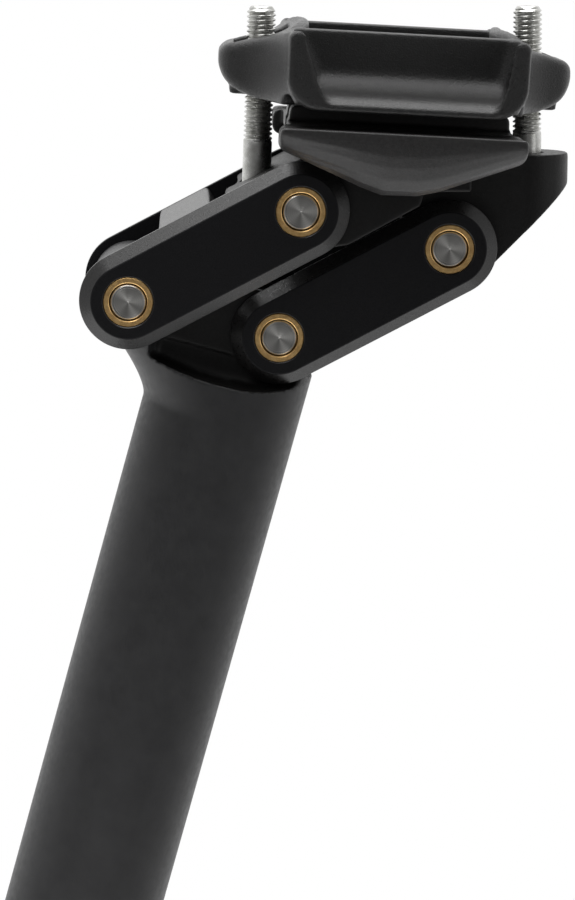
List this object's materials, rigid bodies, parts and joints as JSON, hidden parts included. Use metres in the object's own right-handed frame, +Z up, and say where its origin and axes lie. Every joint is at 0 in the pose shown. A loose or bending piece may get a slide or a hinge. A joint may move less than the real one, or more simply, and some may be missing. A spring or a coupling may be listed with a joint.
{
  "type": "suspension seatpost",
  "caption": "Bicycle seatpost with a round tube, a parallelogram linkage over an internal spring and piston, and a tilting clamp for the saddle's rails.",
  "frame": {"origin": "on the tube's axis, at its bottom end", "axes": "+Z up the tube; +X to the rear of the bicycle; +Y to its right, normal to the middle plane"},
  "size_m": [0.0754, 0.054, 0.3728],
  "materials": {
    "black_paint": "satin black paint on forged aluminium",
    "black_anodised": "fine-textured black anodising",
    "steel": "turned grey steel",
    "zinc_steel": "bright zinc plating",
    "bronze": "plain bronze",
    "spring_steel": "dark oiled spring steel",
    "black_plastic": "matte"
  },
  "bodies": {
    "post": {"post_tube": "black_paint", "piston_sleeve": "black_plastic", "front_lower_axle": "steel", "rear_lower_stub_pin_right": "steel", "rear_lower_stub_pin_left": "steel"},
    "upper_link": {"upper_link": "black_anodised", "upper_link_lower_bush_right": "bronze", "upper_link_lower_bush_left": "bronze", "upper_link_upper_bush_right": "bronze", "upper_link_upper_bush_left": "bronze", "roller_pin": "steel"},
    "pusher_roller": {"pusher_roller": "steel"},
    "lower_link": {"lower_link": "black_anodised", "lower_link_lower_bush_right": "bronze", "lower_link_lower_bush_left": "bronze", "lower_link_upper_bush_right": "bronze", "lower_link_upper_bush_left": "bronze"},
    "carrier": {"saddle_carrier": "black_paint", "front_upper_stub_pin_right": "steel", "front_upper_stub_pin_left": "steel", "rear_upper_axle": "steel", "front_clamp_bolt": "zinc_steel", "rear_clamp_bolt": "zinc_steel"},
    "saddle_clamp": {"lower_cradle": "black_paint", "upper_clamp": "black_paint"},
    "front_nut": {"front_barrel_nut": "zinc_steel"},
    "rear_nut": {"rear_barrel_nut": "zinc_steel"},
    "piston": {"spring_piston": "steel"},
    "preload_stack": {"preload_plug": "black_anodised", "spacer_tube": "black_plastic", "spring_seat": "steel", "main_spring": "spring_steel", "inner_spring": "spring_steel"}
  },
  "joints": [
    {"name": "upper_link_pivot", "type": "hinge", "parent": "post", "child": "upper_link", "pos_m": [-0.0205, 0, 0.308], "axis": [0, 1, 0], "range_deg": [0, 29], "stiffness_Nm_per_rad": 40, "springref_deg": -6.88},
    {"name": "carrier_pivot", "type": "hinge", "parent": "upper_link", "child": "carrier", "pos_m": [0.00312, 0, 0.33003], "axis": [0, 1, 0], "range_deg": [-29, 0]},
    {"name": "lower_link_pivot", "type": "hinge", "parent": "post", "child": "lower_link", "pos_m": [0.0057, 0, 0.308], "axis": [0, 1, 0], "range_deg": [0, 29]},
    {"name": "piston_slide", "type": "slide", "parent": "post", "child": "piston", "axis": [0, 0, -1], "range_m": [0, 0.0076], "deforming": ["main_spring", "inner_spring"]},
    {"name": "pusher_roller_spin", "type": "hinge", "parent": "upper_link", "child": "pusher_roller", "pos_m": [-0.00712, 0, 0.31638], "axis": [0, 1, 0], "continuous": true},
    {"name": "clamp_tilt", "type": "hinge", "parent": "carrier", "child": "saddle_clamp", "pos_m": [0.01362, 0, 0.35577], "axis": [0, 1, 0], "range_deg": [-4, 4]},
    {"name": "front_nut_swivel", "type": "hinge", "parent": "saddle_clamp", "child": "front_nut", "pos_m": [-0.00923, 0, 0.35075], "axis": [0, 1, 0], "range_deg": [-4, 4]},
    {"name": "rear_nut_swivel", "type": "hinge", "parent": "saddle_clamp", "child": "rear_nut", "pos_m": [0.03521, 0, 0.36052], "axis": [0, 1, 0], "range_deg": [-4, 4]},
    {"name": "preload_adjust", "type": "slide", "parent": "post", "child": "preload_stack", "axis": [0, 0, 1], "range_m": [0, 0.005]}
  ],
  "couplings": [
    {"joint": "carrier_pivot", "follows": "upper_link_pivot", "ratio": -1},
    {"joint": "lower_link_pivot", "follows": "upper_link_pivot", "ratio": 1},
    {"joint": "piston_slide", "follows": "upper_link_pivot", "m_per_rad": 0.014897},
    {"joint": "front_nut_swivel", "follows": "clamp_tilt", "ratio": -1},
    {"joint": "rear_nut_swivel", "follows": "clamp_tilt", "ratio": -1}
  ]
}
